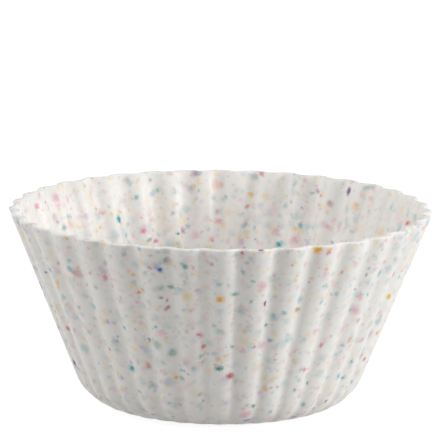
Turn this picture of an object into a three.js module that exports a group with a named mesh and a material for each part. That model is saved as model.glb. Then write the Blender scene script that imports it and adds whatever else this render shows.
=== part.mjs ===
// A silicone baking cup: one moulded, fluted shell that is open at the top.
// Millimetres, +Z up, origin at the centre of the underside, one flute's crest facing -Y.
import * as THREE from 'three';

// The cup's outline, taken over the crests of the flutes
const RIM_DIAMETER = 70;
const CUP_HEIGHT = 32.5;
// Across the base, where the wall's slope would meet the underside without its rounding
const BASE_DIAMETER = 43.5;
const BASE_ROUNDING = 8;

// The silicone skin
const WALL_THICKNESS = 0.9;
const FLOOR_THICKNESS = 0.9;
const RIM_EDGE_ROUNDING = 0.2;

// The flutes, sized at the rim: they shrink with the cup on the way down. A fade of 1 would keep
// their shape there, and a greater one makes them shallower too.
const FLUTE_COUNT = 36;
const FLUTE_DEPTH = 0.95;
const FLUTE_FADE = 1.6;
const VALLEY_ROUNDING = 1.8;

// How finely the faces follow the curves
const STEPS_PER_FLUTE = 8;
const STEPS_ROUND_BASE = 5;
const STEPS_UP_WALL = 2;
const STEPS_ROUND_RIM_EDGE = 2;

const SILICONE_COLOUR = 0xe9e6e1;

const rimRadius = RIM_DIAMETER / 2;
const baseRadius = BASE_DIAMETER / 2;
const wallLean = Math.atan2(rimRadius - baseRadius, CUP_HEIGHT);
const halfPitch = Math.PI / FLUTE_COUNT;
// The wall's thickness as a level cut shows it
const levelWall = WALL_THICKNESS / Math.cos(wallLean);

// Radius of the outer wall's sloping line at a height
function wallLine(height) {
  return baseRadius + height * Math.tan(wallLean);
}

// Points of the arc that rounds a corner between the directions to the points before and after it
function roundedCorner(before, corner, after, rounding, steps) {
  const back = before.clone().sub(corner).normalize();
  const ahead = after.clone().sub(corner).normalize();
  const halfAngle = Math.acos(back.dot(ahead)) / 2;
  const middle = back.clone().add(ahead).normalize();
  const centre = corner.clone().addScaledVector(middle, rounding / Math.sin(halfAngle));
  const start = corner.clone().addScaledVector(back, rounding / Math.tan(halfAngle)).sub(centre);
  const end = corner.clone().addScaledVector(ahead, rounding / Math.tan(halfAngle)).sub(centre);
  const turn = Math.atan2(start.cross(end), start.dot(end));
  const points = [];
  for (let step = 0; step <= steps; step += 1) {
    const arm = start.clone().rotateAround(new THREE.Vector2(), turn * step / steps);
    points.push(centre.clone().add(arm));
  }
  return points;
}

// Points between two others, without the two themselves
function pointsBetween(from, to, steps) {
  const points = [];
  for (let step = 1; step < steps; step += 1) {
    points.push(from.clone().lerp(to, step / steps));
  }
  return points;
}

// Each row of the section has its radius and height at a crest, and how far it lies inside the
// outer face of the wall: none outside, the whole wall inside, and a part of it across the rim.
function sectionRows() {
  const underside = new THREE.Vector2(0, 0);
  const outerCorner = new THREE.Vector2(baseRadius, 0);
  const outerRim = new THREE.Vector2(rimRadius, CUP_HEIGHT);
  const innerRim = new THREE.Vector2(rimRadius - levelWall, CUP_HEIGHT);
  const innerCorner = new THREE.Vector2(wallLine(FLOOR_THICKNESS) - levelWall, FLOOR_THICKNESS);
  const floor = new THREE.Vector2(0, FLOOR_THICKNESS);

  const innerRounding = BASE_ROUNDING - WALL_THICKNESS;
  const outerBase = roundedCorner(underside, outerCorner, outerRim, BASE_ROUNDING, STEPS_ROUND_BASE);
  const outerEdge = roundedCorner(outerCorner, outerRim, innerRim, RIM_EDGE_ROUNDING, STEPS_ROUND_RIM_EDGE);
  const innerEdge = roundedCorner(outerRim, innerRim, innerCorner, RIM_EDGE_ROUNDING, STEPS_ROUND_RIM_EDGE);
  const innerBase = roundedCorner(innerRim, innerCorner, floor, innerRounding, STEPS_ROUND_BASE);
  const outerWall = pointsBetween(outerBase.at(-1), outerEdge[0], STEPS_UP_WALL);
  const innerWall = pointsBetween(innerEdge.at(-1), innerBase[0], STEPS_UP_WALL);

  const outside = [underside, ...outerBase, ...outerWall];
  const rim = [...outerEdge, ...innerEdge];
  const inside = [...innerWall, ...innerBase, floor];
  return [
    ...outside.map((point) => ({ point, inset: 0 })),
    ...rim.map((point) => ({ point, inset: wallLine(point.y) - point.x })),
    ...inside.map((point) => ({ point, inset: levelWall })),
  ];
}

// A level cut through one flute is a wide lobe arc and a smaller valley arc that touch. Both have
// their centre on a line from the axis: the lobe's through the crest, the valley's half a pitch on.
function fluteArcs(crestRadius) {
  const shrink = crestRadius / rimRadius;
  const valleyRadius = VALLEY_ROUNDING * shrink;
  const valleyCentre = crestRadius - FLUTE_DEPTH * shrink ** FLUTE_FADE + valleyRadius;
  const reach = crestRadius + valleyRadius;
  const lobeCentre = (reach ** 2 - valleyCentre ** 2) / (2 * (reach - valleyCentre * Math.cos(halfPitch)));
  const lobeRadius = crestRadius - lobeCentre;
  return { lobeCentre, lobeRadius, valleyCentre, valleyRadius };
}

// Distance from the axis to the fluted skin, at an angle from the crest and an inset from the
// outer face. The inner face runs parallel to the outer one, so its arcs share their centres.
function flutedRadius(angleFromCrest, crestRadius, inset) {
  const { lobeCentre, lobeRadius, valleyCentre, valleyRadius } = fluteArcs(crestRadius);
  const lobeArc = lobeRadius - inset;
  const valleyArc = valleyRadius + inset;
  const touchShare = lobeArc / (lobeRadius + valleyRadius);
  const touchAcross = touchShare * valleyCentre * Math.sin(halfPitch);
  const touchOut = lobeCentre + touchShare * (valleyCentre * Math.cos(halfPitch) - lobeCentre);
  if (angleFromCrest <= Math.atan2(touchAcross, touchOut)) {
    const offLine = lobeCentre * Math.sin(angleFromCrest);
    return lobeCentre * Math.cos(angleFromCrest) + Math.sqrt(lobeArc ** 2 - offLine ** 2);
  }
  const angleFromValley = halfPitch - angleFromCrest;
  const offLine = valleyCentre * Math.sin(angleFromValley);
  return valleyCentre * Math.cos(angleFromValley) - Math.sqrt(valleyArc ** 2 - offLine ** 2);
}

// Angle from the nearest crest, for a step of the turn round the cup
function angleFromNearestCrest(column) {
  const stepFromCrest = column % STEPS_PER_FLUTE;
  const nearest = Math.min(stepFromCrest, STEPS_PER_FLUTE - stepFromCrest);
  return 2 * halfPitch * nearest / STEPS_PER_FLUTE;
}

// How much of its plain radius a point of the section keeps, at an angle from the crest
function fluteShare({ point, inset }, angleFromCrest) {
  const onAxis = point.x === 0;
  return onAxis ? 1 : flutedRadius(angleFromCrest, point.x + inset, inset) / point.x;
}

// The plain section is turned round the axis, then each of its rows is drawn in to the flutes.
function cupGeometry() {
  const rows = sectionRows();
  const columns = FLUTE_COUNT * STEPS_PER_FLUTE;
  const geometry = new THREE.LatheGeometry(rows.map((row) => row.point), columns);
  const position = geometry.getAttribute('position');
  for (let column = 0; column <= columns; column += 1) {
    const angle = angleFromNearestCrest(column);
    rows.forEach((row, rowIndex) => {
      const share = fluteShare(row, angle);
      const vertex = column * rows.length + rowIndex;
      position.setX(vertex, position.getX(vertex) * share);
      position.setZ(vertex, position.getZ(vertex) * share);
    });
  }
  geometry.rotateX(Math.PI / 2);
  geometry.computeVertexNormals();
  return geometry;
}

const silicone = new THREE.MeshStandardMaterial({ color: SILICONE_COLOUR, roughness: 0.45, metalness: 0 });
const bakingCup = new THREE.Mesh(cupGeometry(), silicone);
bakingCup.name = 'baking_cup';

const cup = new THREE.Group();
cup.add(bakingCup);

export default cup;
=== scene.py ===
import math
from collections import namedtuple

import bpy
from mathutils import Matrix, Vector


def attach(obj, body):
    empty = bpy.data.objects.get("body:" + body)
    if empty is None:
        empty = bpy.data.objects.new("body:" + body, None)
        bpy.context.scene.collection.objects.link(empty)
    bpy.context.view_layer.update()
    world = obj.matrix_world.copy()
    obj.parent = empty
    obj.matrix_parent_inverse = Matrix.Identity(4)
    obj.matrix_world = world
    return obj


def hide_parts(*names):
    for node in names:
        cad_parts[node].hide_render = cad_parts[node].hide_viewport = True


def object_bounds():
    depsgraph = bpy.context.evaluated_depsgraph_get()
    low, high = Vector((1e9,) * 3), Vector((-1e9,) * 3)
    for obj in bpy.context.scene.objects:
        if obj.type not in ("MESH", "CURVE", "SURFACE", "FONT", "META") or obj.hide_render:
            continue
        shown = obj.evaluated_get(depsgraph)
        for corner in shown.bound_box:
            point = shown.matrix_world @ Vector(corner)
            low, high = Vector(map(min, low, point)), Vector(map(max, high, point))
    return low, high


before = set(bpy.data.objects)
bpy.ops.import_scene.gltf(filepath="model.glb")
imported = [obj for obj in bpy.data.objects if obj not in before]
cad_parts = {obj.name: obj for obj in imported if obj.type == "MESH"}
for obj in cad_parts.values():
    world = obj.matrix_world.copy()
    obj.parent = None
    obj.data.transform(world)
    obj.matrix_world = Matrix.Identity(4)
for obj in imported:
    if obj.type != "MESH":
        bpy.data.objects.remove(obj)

# A silicone baking cup as it looks: a fine fluted shell, confetti silicone and a white stage.
# Everything is in metres, in the frame of the solid model: +Z up, origin under the cup.

packed_box = [list(corner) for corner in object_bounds()]
MM = 0.001

# The cup's outline over the crests of the flutes
RIM_RADIUS = 35 * MM
CUP_HEIGHT = packed_box[1][2]
BASE_RADIUS = 21.75 * MM
BASE_ROUNDING = 8 * MM

# The silicone skin
WALL_THICKNESS = 0.9 * MM
FLOOR_THICKNESS = 0.9 * MM
RIM_EDGE_ROUNDING = 0.2 * MM

# The flutes, sized at the rim: they shrink with the cup on the way down. A fade of 1 would keep
# their shape there, and a greater one makes them shallower too.
FLUTE_COUNT = 36
FLUTE_DEPTH = 0.95 * MM
FLUTE_FADE = 1.6
VALLEY_ROUNDING = 1.8 * MM

# How finely the mesh follows the curves
COLUMNS_PER_FLUTE = 24
STEPS_ROUND_BASE = 14
STEPS_UP_WALL = 10
STEPS_ROUND_RIM_EDGE = 2
RINGS_ON_FLAT = 4
CLOSING_DISTANCE = 0.002 * MM

# The photograph's frame and where its camera stood
PHOTO_SIDE = 447
SENSOR_WIDTH = 36
PIXELS_PER_METRE = 6050
CAMERA_DISTANCE = 1.0
CAMERA_ELEVATION = math.radians(11.96)
CAMERA_AZIMUTH = math.radians(-0.5)
CAMERA_ROLL = math.radians(0.6)
CUP_MIDDLE_PIXEL = (219.75, 305.1)

# The lamps: name, azimuth and elevation in degrees, and power in watts
LAMP_DISTANCE = 0.7
LAMP_SIDE = 0.2
LAMPS = (
    ("right_lamp", 75, 15, 2.34),
    ("left_lamp", -80, 12, 0.44),
    ("high_left_lamp", -90, 35, 0.60),
    ("upper_left_lamp", -60, 50, 0.44),
    ("upper_right_lamp", 60, 60, 0.42),
    ("top_lamp", 0, 85, 0.55),
)
WORLD_LIGHT = 0.295
WHITE = (1, 1, 1, 1)

# The floor, in metres: a grey card to the cup, and to the camera a glow plus what shadow takes away
FLOOR_REACH = 6.0
FLOOR_GAP = 0.02 * MM
FLOOR_CARD = 0.7
FLOOR_SHADED = 0.35
FLOOR_GLOW = 0.88

wall_lean = math.atan2(RIM_RADIUS - BASE_RADIUS, CUP_HEIGHT)
level_wall = WALL_THICKNESS / math.cos(wall_lean)
flat_radius = BASE_RADIUS - BASE_ROUNDING * math.tan((math.pi / 2 - wall_lean) / 2)


class Value:
    """A node's output that takes part in sums: each operator adds the Math node for it."""

    def __init__(self, tree, socket):
        self.tree = tree
        self.socket = socket

    def math(self, operation, *others):
        inputs = dict(enumerate((self, *others)))
        return self.tree.add("ShaderNodeMath", {"operation": operation}, inputs)[0]

    def __add__(self, other):
        return self.math("ADD", other)

    def __sub__(self, other):
        return self.math("SUBTRACT", other)

    def __rsub__(self, other):
        return self.tree.add("ShaderNodeMath", {"operation": "SUBTRACT"}, {0: other, 1: self})[0]

    def __mul__(self, other):
        return self.math("MULTIPLY", other)

    def __truediv__(self, other):
        return self.math("DIVIDE", other)

    def __rtruediv__(self, other):
        return self.tree.add("ShaderNodeMath", {"operation": "DIVIDE"}, {0: other, 1: self})[0]

    def __neg__(self):
        return self.math("MULTIPLY", -1)

    __radd__ = __add__
    __rmul__ = __mul__


class Tree:
    """A node tree in the making."""

    def __init__(self, nodes):
        self.nodes = nodes

    def add(self, kind, settings=None, inputs=None):
        """Adds a node with its settings, then feeds its sockets, and returns its outputs."""
        node = self.nodes.nodes.new(kind)
        for name, value in (settings or {}).items():
            if name == "ramp":
                set_ramp(node.color_ramp, *value)
            else:
                setattr(node, name, value)
        for key, value in (inputs or {}).items():
            self.feed(node.inputs[key], value)
        return Outputs(self, node)

    def feed(self, socket, value):
        if isinstance(value, Value):
            self.nodes.links.new(value.socket, socket)
        else:
            socket.default_value = value


class Outputs:
    """The outputs of one node, by name or by place."""

    def __init__(self, tree, node):
        self.tree = tree
        self.node = node

    def __getitem__(self, key):
        return Value(self.tree, self.node.outputs[key])


def set_ramp(ramp, interpolation, stops):
    ramp.interpolation = interpolation
    while len(ramp.elements) > 1:
        ramp.elements.remove(ramp.elements[-1])
    ramp.elements[0].position, ramp.elements[0].color = stops[0]
    for position, colour in stops[1:]:
        ramp.elements.new(position).color = colour


def rounded_corner(before, corner, after, rounding, steps):
    """Points of the arc that rounds a corner of the section."""
    back = (before - corner).normalized()
    ahead = (after - corner).normalized()
    half_angle = back.angle(ahead) / 2
    centre = corner + (back + ahead).normalized() * rounding / math.sin(half_angle)
    start = corner + back * rounding / math.tan(half_angle) - centre
    end = corner + ahead * rounding / math.tan(half_angle) - centre
    turn = math.atan2(start.x * end.y - start.y * end.x, start.dot(end))
    return [centre + Matrix.Rotation(turn * step / steps, 2) @ start for step in range(steps + 1)]


def points_between(start, end, steps):
    return [start.lerp(end, step / steps) for step in range(1, steps)]


def wall_line(height):
    """Radius of the outer wall's sloping line."""
    return BASE_RADIUS + height * math.tan(wall_lean)


def section_rows():
    """Points of the section (radius, height), and how far each lies inside the outer face."""
    under_middle = Vector((0, 0))
    outer_corner = Vector((BASE_RADIUS, 0))
    outer_rim = Vector((RIM_RADIUS, CUP_HEIGHT))
    inner_rim = Vector((RIM_RADIUS - level_wall, CUP_HEIGHT))
    inner_corner = Vector((wall_line(FLOOR_THICKNESS) - level_wall, FLOOR_THICKNESS))
    floor_middle = Vector((0, FLOOR_THICKNESS))

    inner_rounding = BASE_ROUNDING - WALL_THICKNESS
    rim_rounding = (RIM_EDGE_ROUNDING, STEPS_ROUND_RIM_EDGE)
    outer_base = rounded_corner(under_middle, outer_corner, outer_rim, BASE_ROUNDING, STEPS_ROUND_BASE)
    outer_edge = rounded_corner(outer_corner, outer_rim, inner_rim, *rim_rounding)
    inner_edge = rounded_corner(outer_rim, inner_rim, inner_corner, *rim_rounding)
    inner_base = rounded_corner(inner_rim, inner_corner, floor_middle, inner_rounding, STEPS_ROUND_BASE)

    outside = [under_middle, *points_between(under_middle, outer_base[0], RINGS_ON_FLAT), *outer_base]
    outside += points_between(outer_base[-1], outer_edge[0], STEPS_UP_WALL)
    rim = outer_edge + inner_edge
    inside = points_between(inner_edge[-1], inner_base[0], STEPS_UP_WALL) + inner_base
    inside += [*points_between(inner_base[-1], floor_middle, RINGS_ON_FLAT), floor_middle]
    rows = [(point, 0.0) for point in outside]
    rows += [(point, wall_line(point.y) - point.x) for point in rim]
    rows += [(point, level_wall) for point in inside]
    return rows


def section_object():
    """The section as a line of edges in the XZ plane, with each point's inset."""
    rows = section_rows()
    mesh = bpy.data.meshes.new("baking_cup_shell")
    points = [(point.x, 0, point.y) for point, inset in rows]
    mesh.from_pydata(points, [(row, row + 1) for row in range(len(rows) - 1)], [])
    inset = mesh.attributes.new("inset", "FLOAT", "POINT")
    inset.data.foreach_set("value", [inset for point, inset in rows])
    shell = bpy.data.objects.new("baking_cup_shell", mesh)
    bpy.context.scene.collection.objects.link(shell)
    return shell


def fluted_radius(angle, crest, inset, sizes):
    """Distance from the axis to the skin. A level cut through a flute is a wide lobe arc and a
    smaller valley arc that touch, and the inner face's arcs share the outer ones' centres."""
    half_pitch = sizes["half pitch"]
    shrink = crest / sizes["Rim radius"]
    valley_radius = sizes["Valley rounding"] * shrink
    depth = sizes["Flute depth"] * shrink.math("POWER", sizes["Flute fade"])
    valley_centre = crest - depth + valley_radius
    valley_out = valley_centre * half_pitch.math("COSINE")
    reach = crest + valley_radius
    lobe_centre = (reach * reach - valley_centre * valley_centre) / (2 * (reach - valley_out))
    lobe_radius = crest - lobe_centre

    lobe_arc = lobe_radius - inset
    valley_arc = valley_radius + inset
    touch_share = lobe_arc / (lobe_radius + valley_radius)
    touch_across = touch_share * valley_centre * half_pitch.math("SINE")
    touch_out = lobe_centre + touch_share * (valley_out - lobe_centre)
    touch_angle = touch_across.math("ARCTAN2", touch_out)

    lobe_off = lobe_centre * angle.math("SINE")
    on_lobe = lobe_centre * angle.math("COSINE") + (lobe_arc * lobe_arc - lobe_off * lobe_off).math("SQRT")
    from_valley = half_pitch - angle
    valley_off = valley_centre * from_valley.math("SINE")
    valley_reach = (valley_arc * valley_arc - valley_off * valley_off).math("SQRT")
    on_valley = valley_centre * from_valley.math("COSINE") - valley_reach
    past_touch = angle.math("GREATER_THAN", touch_angle)
    return on_lobe + past_touch * (on_valley - on_lobe)


SHELL_INPUTS = {
    "Flute count": ("NodeSocketInt", FLUTE_COUNT),
    "Columns per flute": ("NodeSocketInt", COLUMNS_PER_FLUTE),
    "Rim radius": ("NodeSocketFloat", RIM_RADIUS),
    "Flat radius": ("NodeSocketFloat", flat_radius),
    "Flute depth": ("NodeSocketFloat", FLUTE_DEPTH),
    "Flute fade": ("NodeSocketFloat", FLUTE_FADE),
    "Valley rounding": ("NodeSocketFloat", VALLEY_ROUNDING),
    "Closing distance": ("NodeSocketFloat", CLOSING_DISTANCE),
}


def shell_tree():
    """Turns the section line into the closed fluted shell."""
    group = bpy.data.node_groups.new("fluted_shell", "GeometryNodeTree")
    group.interface.new_socket("Section", in_out="INPUT", socket_type="NodeSocketGeometry")
    group.interface.new_socket("Silicone", in_out="INPUT", socket_type="NodeSocketMaterial")
    for name, (kind, value) in SHELL_INPUTS.items():
        group.interface.new_socket(name, in_out="INPUT", socket_type=kind)
    group.interface.new_socket("Shell", in_out="OUTPUT", socket_type="NodeSocketGeometry")

    tree = Tree(group)
    given = tree.add("NodeGroupInput")
    section = given["Section"]
    sizes = {name: given[name] for name in SHELL_INPUTS}
    sizes["half pitch"] = math.pi / sizes["Flute count"]

    counted = tree.add("GeometryNodeAttributeDomainSize", {"component": "MESH"}, {"Geometry": section})
    rows = counted["Point Count"]
    columns = sizes["Flute count"] * sizes["Columns per flute"]
    grid = tree.add("GeometryNodeMeshGrid", {}, {"Vertices X": columns + 1, "Vertices Y": rows})["Mesh"]
    index = tree.add("GeometryNodeInputIndex")["Index"]
    row = index.math("MODULO", rows)
    column = (index / rows).math("FLOOR")

    place = tree.add("GeometryNodeInputPosition")["Position"]
    point = tree.add("GeometryNodeSampleIndex", {"data_type": "FLOAT_VECTOR"},
                     {"Geometry": section, "Value": place, "Index": row})["Value"]
    radius, _, height = (tree.add("ShaderNodeSeparateXYZ", {}, {0: point})[axis] for axis in range(3))
    stored = tree.add("GeometryNodeInputNamedAttribute", {"data_type": "FLOAT"}, {"Name": "inset"})
    inset = tree.add("GeometryNodeSampleIndex", {"data_type": "FLOAT"},
                     {"Geometry": section, "Value": stored["Attribute"], "Index": row})["Value"]

    # The turn round the cup, counted in flutes, and the angle to the nearest crest
    turn = column / sizes["Columns per flute"]
    around = turn * 2 * sizes["half pitch"]
    angle = (turn - turn.math("ROUND")).math("ABSOLUTE") * 2 * sizes["half pitch"]

    # On the flat middle, where flutes can't show, the rings keep the flat's own outline
    fluted_from = radius.math("MAXIMUM", sizes["Flat radius"])
    skin = radius / fluted_from * fluted_radius(angle, fluted_from + inset, inset, sizes)
    skin_place = tree.add("ShaderNodeCombineXYZ", {}, {
        "X": skin * around.math("SINE"), "Y": -(skin * around.math("COSINE")), "Z": height})["Vector"]
    shaped = tree.add("GeometryNodeSetPosition", {}, {"Geometry": grid, "Position": skin_place})["Geometry"]
    closed = tree.add("GeometryNodeMergeByDistance", {},
                      {"Geometry": shaped, "Distance": sizes["Closing distance"]})["Geometry"]
    smooth = tree.add("GeometryNodeSetShadeSmooth", {},
                      {"Geometry": closed, "Shade Smooth": True})["Geometry"]
    real = tree.add("GeometryNodeRealizeInstances", {}, {"Geometry": smooth})["Geometry"]
    dressed = tree.add("GeometryNodeSetMaterial", {},
                       {"Geometry": real, "Material": given["Silicone"]})["Geometry"]
    tree.add("NodeGroupOutput", {}, {"Shell": dressed})
    return group


def baking_cup_shell(silicone):
    """The cup's skin as one plain closed mesh."""
    shell = section_object()
    modifier = shell.modifiers.new("fluted_shell", "NODES")
    modifier.node_group = shell_tree()
    values = {name: value for name, (kind, value) in SHELL_INPUTS.items()}
    values["Silicone"] = silicone
    for item in modifier.node_group.interface.items_tree:
        if item.in_out == "INPUT" and item.name in values:
            modifier[item.identifier] = values[item.name]
    evaluated = shell.evaluated_get(bpy.context.evaluated_depsgraph_get())
    finished = bpy.data.meshes.new_from_object(evaluated)
    shell.modifiers.remove(modifier)
    shell.data = finished
    return shell


def new_material(name):
    material = bpy.data.materials.new(name)
    material.use_nodes = True
    material.node_tree.nodes.clear()
    return material, Tree(material.node_tree)


# Confetti colours, each with its share of the flakes
CONFETTI = (
    ((0.01, 0.45, 0.51, 1), 0.32),  # teal
    ((0.90, 0.55, 0.02, 1), 0.26),  # gold
    ((0.48, 0.01, 0.07, 1), 0.10),  # crimson
    ((0.74, 0.12, 0.32, 1), 0.12),  # pink
    ((0.06, 0.24, 0.54, 1), 0.05),  # blue
    ((0.24, 0.11, 0.38, 1), 0.05),  # purple
    ((0.03, 0.36, 0.28, 1), 0.07),  # green
    ((0.75, 0.20, 0.04, 1), 0.03),  # orange
)

SILICONE_COLOUR = (0.965, 0.918, 0.889, 1)
SKIN_ROUGHNESS = 0.34
SILICONE_IOR = 1.41
LIGHT_REACH_IN_SKIN = 0.6 * MM

# Flakes lie in layers, from deep and blurred to crisp at the surface. Fading is how quickly a
# flake pales from its middle, flatness makes a grain a chip, and strength is its fullest cover.
FlakeLayer = namedtuple("FlakeLayer", "spacing radius fading flatness strength seed")
FLAKE_LAYERS = (
    FlakeLayer(1.90 * MM, 1.80 * MM, fading=1.5, flatness=0.5, strength=0.46, seed=0.31),
    FlakeLayer(0.95 * MM, 0.45 * MM, fading=1.0, flatness=0.8, strength=0.30, seed=0.19),
    FlakeLayer(1.50 * MM, 0.74 * MM, fading=1.1, flatness=1.4, strength=0.76, seed=0.57),
    FlakeLayer(2.55 * MM, 1.12 * MM, fading=1.2, flatness=1.4, strength=1.35, seed=0.83),
)

# A flake's own size and strength, as shares of its layer's
FLAKE_SIZE_RANGE = (0.55, 1.2)
WEAKEST_FLAKE = 0.2

# How a fine noise makes the outlines uneven, in shares of the layer's radius
RAGGED_LENGTH = 0.5
RAGGED_REACH = 0.8
RAGGED_DETAIL = 2.0

# A cell's red, green and blue are chances. Two more come from sums of them with these weights.
STRENGTH_DRAW = (5.77, 2.31)
COLOUR_DRAW = (7.31, 3.17)
NOISE_MIDDLE = (0.5, 0.5, 0.5)

# Places of the Mix node's sockets when it mixes colours
MIX_FACTOR, MIX_UNDER, MIX_OVER, MIX_RESULT = 0, 6, 7, 2


def vector_math(tree, operation, *inputs, **named):
    """One Vector Math node: its vector."""
    node = tree.add("ShaderNodeVectorMath", {"operation": operation}, {**dict(enumerate(inputs)), **named})
    return node["Vector"]


def laid_over(tree, cover, under, over):
    """One colour laid over another, where the cover says."""
    sockets = {MIX_FACTOR: cover, MIX_UNDER: under, MIX_OVER: over}
    return tree.add("ShaderNodeMix", {"data_type": "RGBA"}, sockets)[MIX_RESULT]


def ragged_place(tree, place, radius):
    """The place nudged by a fine noise, so that flakes get uneven outlines."""
    noise = tree.add("ShaderNodeTexNoise", {}, {
        "Vector": place, "Scale": 1 / (RAGGED_LENGTH * radius), "Detail": RAGGED_DETAIL})["Color"]
    centred = vector_math(tree, "SUBTRACT", noise, NOISE_MIDDLE)
    nudge = vector_math(tree, "SCALE", centred, Scale=RAGGED_REACH * radius)
    return vector_math(tree, "ADD", place, nudge)


def chip_distance(tree, away, chance, flatness):
    """How far a point lies from a flake's middle: more across the chip's face than along it."""
    facing = vector_math(tree, "NORMALIZE", vector_math(tree, "SUBTRACT", chance, NOISE_MIDDLE))
    through = tree.add("ShaderNodeVectorMath", {"operation": "DOT_PRODUCT"}, {0: away, 1: facing})["Value"]
    length = tree.add("ShaderNodeVectorMath", {"operation": "LENGTH"}, {0: away})["Value"]
    return (length * length + flatness * (through * through)).math("SQRT")


def confetti_stops():
    """Where each confetti colour starts on the scale of chances."""
    starts = [sum(share for _, share in CONFETTI[:step]) for step in range(len(CONFETTI))]
    return [(start, colour) for start, (colour, _) in zip(starts, CONFETTI)]


def flakes(tree, place, layer):
    """Flakes scattered through the silicone: how much one covers a point, and its colour."""
    seed_shift = (layer.seed, 2 * layer.seed, 3 * layer.seed)
    shifted = vector_math(tree, "ADD", ragged_place(tree, place, layer.radius), seed_shift)
    cell = vector_math(tree, "SCALE", shifted, Scale=1 / layer.spacing)
    nearest = tree.add("ShaderNodeTexVoronoi", {"voronoi_dimensions": "3D"}, {"Vector": cell, "Scale": 1.0})
    away = vector_math(tree, "SUBTRACT", cell, nearest["Position"])
    distance = chip_distance(tree, away, nearest["Color"], layer.flatness)

    chance = tree.add("ShaderNodeSeparateColor", {}, {0: nearest["Color"]})
    red, green, blue = chance["Red"], chance["Green"], chance["Blue"]
    least, most = FLAKE_SIZE_RANGE
    size = (least + (most - least) * green) * (layer.radius / layer.spacing)
    middle = tree.add("ShaderNodeMapRange", {"interpolation_type": "SMOOTHSTEP"}, {
        "Value": distance, "From Min": 0.0, "From Max": size, "To Min": 1.0, "To Max": 0.0})["Result"]

    strength_chance = (red * STRENGTH_DRAW[0] + green * STRENGTH_DRAW[1]).math("FRACT")
    own_strength = WEAKEST_FLAKE + (1 - WEAKEST_FLAKE) * strength_chance * strength_chance
    cover = middle.math("POWER", layer.fading) * layer.strength * own_strength
    colour_chance = (red * COLOUR_DRAW[0] + blue * COLOUR_DRAW[1]).math("FRACT")
    ramp = {"ramp": ("CONSTANT", confetti_stops())}
    return cover, tree.add("ShaderNodeValToRGB", ramp, {"Fac": colour_chance})["Color"]


def confetti_silicone():
    """Pale translucent silicone with flakes of many colours inside it."""
    material, tree = new_material("confetti_silicone")
    place = tree.add("ShaderNodeTexCoord")["Object"]
    colour = SILICONE_COLOUR
    for layer in FLAKE_LAYERS:
        cover, flake = flakes(tree, place, layer)
        colour = laid_over(tree, cover, colour, flake)
    skin = tree.add("ShaderNodeBsdfPrincipled", {}, {
        "Base Color": colour,
        "Roughness": SKIN_ROUGHNESS,
        "IOR": SILICONE_IOR,
        "Subsurface Weight": 1.0,
        "Subsurface Radius": (1.0, 1.0, 1.0),
        "Subsurface Scale": LIGHT_REACH_IN_SKIN,
    })["BSDF"]
    tree.add("ShaderNodeOutputMaterial", {}, {"Surface": skin})
    return material


def stage_ray(tree):
    """1 for rays that should see the plain white stage."""
    path = tree.add("ShaderNodeLightPath")
    seen = path["Is Camera Ray"].math("MAXIMUM", path["Is Glossy Ray"])
    return seen.math("MAXIMUM", path["Is Transmission Ray"])


def grey(level):
    return (level, level, level, 1)


def floor():
    """A white floor that keeps the cup's soft shadow. From below it can be seen through."""
    mesh = bpy.data.meshes.new("floor")
    corners = [(across * FLOOR_REACH, along * FLOOR_REACH, -FLOOR_GAP)
               for across, along in ((-1, -1), (1, -1), (1, 1), (-1, 1))]
    mesh.from_pydata(corners, [], [(0, 1, 2, 3)])
    plane = bpy.data.objects.new("floor", mesh)
    bpy.context.scene.collection.objects.link(plane)
    material, tree = new_material("white_floor")
    card = tree.add("ShaderNodeBsdfDiffuse", {}, {"Color": grey(FLOOR_CARD)})["BSDF"]
    shaded = tree.add("ShaderNodeBsdfDiffuse", {}, {"Color": grey(FLOOR_SHADED)})["BSDF"]
    glow = tree.add("ShaderNodeEmission", {}, {"Color": WHITE, "Strength": FLOOR_GLOW})["Emission"]
    seen = tree.add("ShaderNodeAddShader", {}, {0: shaded, 1: glow})["Shader"]
    top = tree.add("ShaderNodeMixShader", {}, {0: stage_ray(tree), 1: card, 2: seen})["Shader"]
    clear = tree.add("ShaderNodeBsdfTransparent")["BSDF"]
    below = tree.add("ShaderNodeNewGeometry")["Backfacing"]
    surface = tree.add("ShaderNodeMixShader", {}, {0: below, 1: top, 2: clear})["Shader"]
    tree.add("ShaderNodeOutputMaterial", {}, {"Surface": surface})
    mesh.materials.append(material)


def white_world():
    """Plain even light, with white behind the cup."""
    world = bpy.data.worlds.new("white_world")
    bpy.context.scene.world = world
    world.use_nodes = True
    world.node_tree.nodes.clear()
    tree = Tree(world.node_tree)
    light = tree.add("ShaderNodeBackground", {}, {"Color": WHITE, "Strength": WORLD_LIGHT})["Background"]
    white = tree.add("ShaderNodeBackground", {}, {"Color": WHITE, "Strength": 1.0})["Background"]
    surface = tree.add("ShaderNodeMixShader", {}, {0: stage_ray(tree), 1: light, 2: white})["Shader"]
    tree.add("ShaderNodeOutputWorld", {}, {"Surface": surface})


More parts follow.
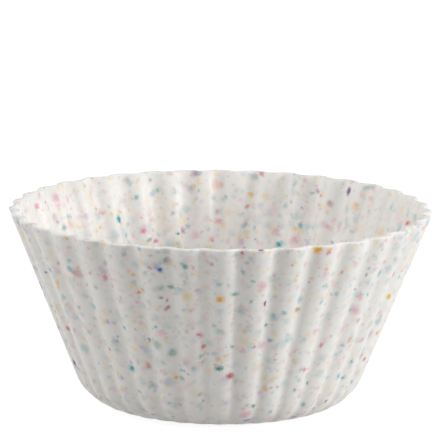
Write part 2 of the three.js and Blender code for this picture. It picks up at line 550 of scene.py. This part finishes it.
def soft_lamp(name, azimuth, elevation, power):
    """A square lamp that faces the cup. Azimuth 0 is in front and 90 to the right, in degrees."""
    data = bpy.data.lights.new(name, "AREA")
    data.size = LAMP_SIDE
    data.energy = power
    around, up = math.radians(azimuth), math.radians(elevation)
    away = Vector((math.sin(around) * math.cos(up), -math.cos(around) * math.cos(up), math.sin(up)))
    lamp = bpy.data.objects.new(name, data)
    lamp.location = away * LAMP_DISTANCE
    lamp.rotation_mode = "QUATERNION"
    lamp.rotation_quaternion = away.to_track_quat("Z", "Y")
    bpy.context.scene.collection.objects.link(lamp)


def camera():
    """The photograph's viewpoint: it looks at the cup's middle, rolled a little, then turns so that
    the middle falls on its own pixel."""
    data = bpy.data.cameras.new("camera")
    focal_pixels = PIXELS_PER_METRE * CAMERA_DISTANCE
    data.sensor_width = SENSOR_WIDTH
    data.lens = focal_pixels * SENSOR_WIDTH / PHOTO_SIDE
    eye = bpy.data.objects.new("camera", data)
    middle = Vector((0, 0, CUP_HEIGHT / 2))
    back = Vector((math.sin(CAMERA_AZIMUTH) * math.cos(CAMERA_ELEVATION),
                   -math.cos(CAMERA_AZIMUTH) * math.cos(CAMERA_ELEVATION),
                   math.sin(CAMERA_ELEVATION)))
    aim = (-back).to_track_quat("-Z", "Y").to_matrix()
    roll = Matrix.Rotation(CAMERA_ROLL, 3, "Z")
    up = Matrix.Rotation(math.atan((CUP_MIDDLE_PIXEL[1] - PHOTO_SIDE / 2) / focal_pixels), 3, "X")
    aside = Matrix.Rotation(math.atan((CUP_MIDDLE_PIXEL[0] - PHOTO_SIDE / 2) / focal_pixels), 3, "Y")
    facing = (aim @ roll @ up @ aside).to_4x4()
    eye.matrix_world = Matrix.Translation(middle + back * CAMERA_DISTANCE) @ facing
    bpy.context.scene.collection.objects.link(eye)
    bpy.context.scene.camera = eye


camera()
white_world()
floor()
for lamp in LAMPS:
    soft_lamp(*lamp)

shell = baking_cup_shell(confetti_silicone())
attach(shell, "root")
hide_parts("baking_cup")

bpy.context.scene.view_settings.view_transform = "Standard"
